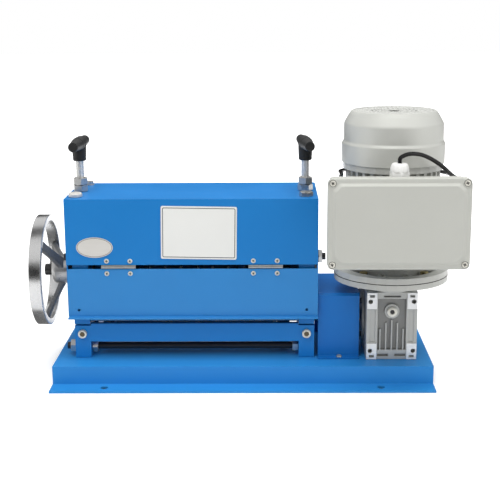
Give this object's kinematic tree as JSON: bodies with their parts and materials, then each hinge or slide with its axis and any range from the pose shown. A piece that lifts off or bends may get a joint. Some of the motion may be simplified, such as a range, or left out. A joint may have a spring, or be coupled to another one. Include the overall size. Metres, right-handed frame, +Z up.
{
  "type": "wire stripping machine",
  "caption": "Bench wire stripping machine: motor-driven knurled roller under a blade shaft, hinged front flap, handwheel and two pressure screws on a steel base.",
  "frame": {"origin": "middle of the front mounting flange's underside", "axes": "+X along the base towards the motor, +Y from the feed side to the back, +Z up"},
  "size_m": [0.5952, 0.297, 0.376],
  "materials": {
    "powder_coat_blue": "satin powder coat",
    "zinc_plated": "zinc plated",
    "bright_steel": "machined",
    "black_oxide": "black oxide",
    "black_plastic": "moulded",
    "cast_alloy": "cast and painted light grey",
    "motor_grey": "semi-gloss paint",
    "box_grey": "moulded",
    "polished_rim": "turned and polished",
    "sign_white": "plain printed plate",
    "plate_silver": "brushed",
    "nylon_white": "moulded",
    "bronze": "machined bronze",
    "cable_black": "smooth jacket"
  },
  "bodies": {
    "frame": {"base_frame": "powder_coat_blue", "left_side_plate": "powder_coat_blue", "right_side_plate": "powder_coat_blue", "front_portal_plate": "powder_coat_blue", "left_portal_screw": "zinc_plated", "right_portal_screw": "zinc_plated", "lower_tie_rod": "black_oxide", "lower_rod_nut_left_outer": "zinc_plated", "lower_rod_nut_left_inner": "zinc_plated", "lower_rod_nut_right_inner": "zinc_plated", "upper_tie_rod": "black_oxide", "upper_tie_nut": "zinc_plated", "feed_table": "bright_steel", "upper_cover": "powder_coat_blue", "left_cover_bolt": "zinc_plated", "right_cover_bolt": "zinc_plated", "left_lower_lock_nut": "zinc_plated", "left_upper_lock_nut": "zinc_plated", "right_lower_lock_nut": "zinc_plated", "right_upper_lock_nut": "zinc_plated", "left_hinge_upper_leaf": "zinc_plated", "right_hinge_upper_leaf": "zinc_plated", "sign_plate": "sign_white", "oval_plate": "plate_silver", "left_drive_bearing": "bright_steel", "right_drive_bearing": "bright_steel", "drive_guard": "powder_coat_blue", "gearbox_housing": "cast_alloy", "gearbox_plug": "zinc_plated", "gearbox_left_cover": "cast_alloy", "gearbox_right_cover": "cast_alloy", "gearbox_input_flange": "motor_grey", "motor_flange": "motor_grey", "motor_body": "motor_grey", "fan_cover": "motor_grey", "fan_cover_grille": "motor_grey", "control_box_lid": "box_grey", "control_box_tray": "box_grey", "terminal_base": "motor_grey", "box_gland": "nylon_white", "terminal_gland": "black_plastic", "motor_lead": "cable_black"},
    "flap": {"front_flap": "powder_coat_blue", "left_hinge_lower_leaf": "zinc_plated", "right_hinge_lower_leaf": "zinc_plated"},
    "carriage": {"left_bearing_block": "bronze", "right_bearing_block": "bronze"},
    "blade_set": {"blade_shaft": "bright_steel", "blade_roller": "bright_steel", "blade_gear": "bright_steel", "handwheel": "polished_rim"},
    "drive_set": {"drive_shaft": "bright_steel", "drive_gear": "bright_steel", "worm_wheel": "bronze"},
    "rotor_set": {"motor_rotor": "bright_steel", "cooling_fan": "black_plastic"},
    "left_adjuster": {"left_pressure_screw": "bright_steel", "left_t_handle": "black_plastic"},
    "right_adjuster": {"right_pressure_screw": "bright_steel", "right_t_handle": "black_plastic"}
  },
  "joints": [
    {"name": "flap_hinge", "type": "hinge", "parent": "frame", "child": "flap", "pos_m": [-0.07, 0.05105, 0.162], "axis": [-1, 0, 0], "range_deg": [0, 130]},
    {"name": "blade_lift", "type": "slide", "parent": "frame", "child": "carriage", "axis": [0, 0, 1], "range_m": [-0.0005, 0.01]},
    {"name": "left_adjuster_turn", "type": "hinge", "parent": "carriage", "child": "left_adjuster", "pos_m": [-0.232, 0.117, 0.1426], "axis": [0, 0, 1], "range_deg": [-103, 2058]},
    {"name": "right_adjuster_turn", "type": "hinge", "parent": "carriage", "child": "right_adjuster", "pos_m": [0.089, 0.117, 0.1426], "axis": [0, 0, 1], "range_deg": [-103, 2058]},
    {"name": "drive_roller_spin", "type": "hinge", "parent": "frame", "child": "drive_set", "pos_m": [0.209, 0.117, 0.0766], "axis": [1, 0, 0], "continuous": true},
    {"name": "blade_shaft_spin", "type": "hinge", "parent": "carriage", "child": "blade_set", "pos_m": [-0.0687, 0.117, 0.1426], "axis": [1, 0, 0], "continuous": true},
    {"name": "motor_rotor_spin", "type": "hinge", "parent": "frame", "child": "rotor_set", "pos_m": [0.209, 0.077, 0.0766], "axis": [0, 0, 1], "continuous": true}
  ],
  "couplings": [
    {"joint": "left_adjuster_turn", "follows": "blade_lift", "rad_per_m": 3590.4},
    {"joint": "right_adjuster_turn", "follows": "blade_lift", "rad_per_m": 3590.4},
    {"joint": "blade_shaft_spin", "follows": "drive_roller_spin", "ratio": -1},
    {"joint": "motor_rotor_spin", "follows": "drive_roller_spin", "ratio": 10}
  ]
}
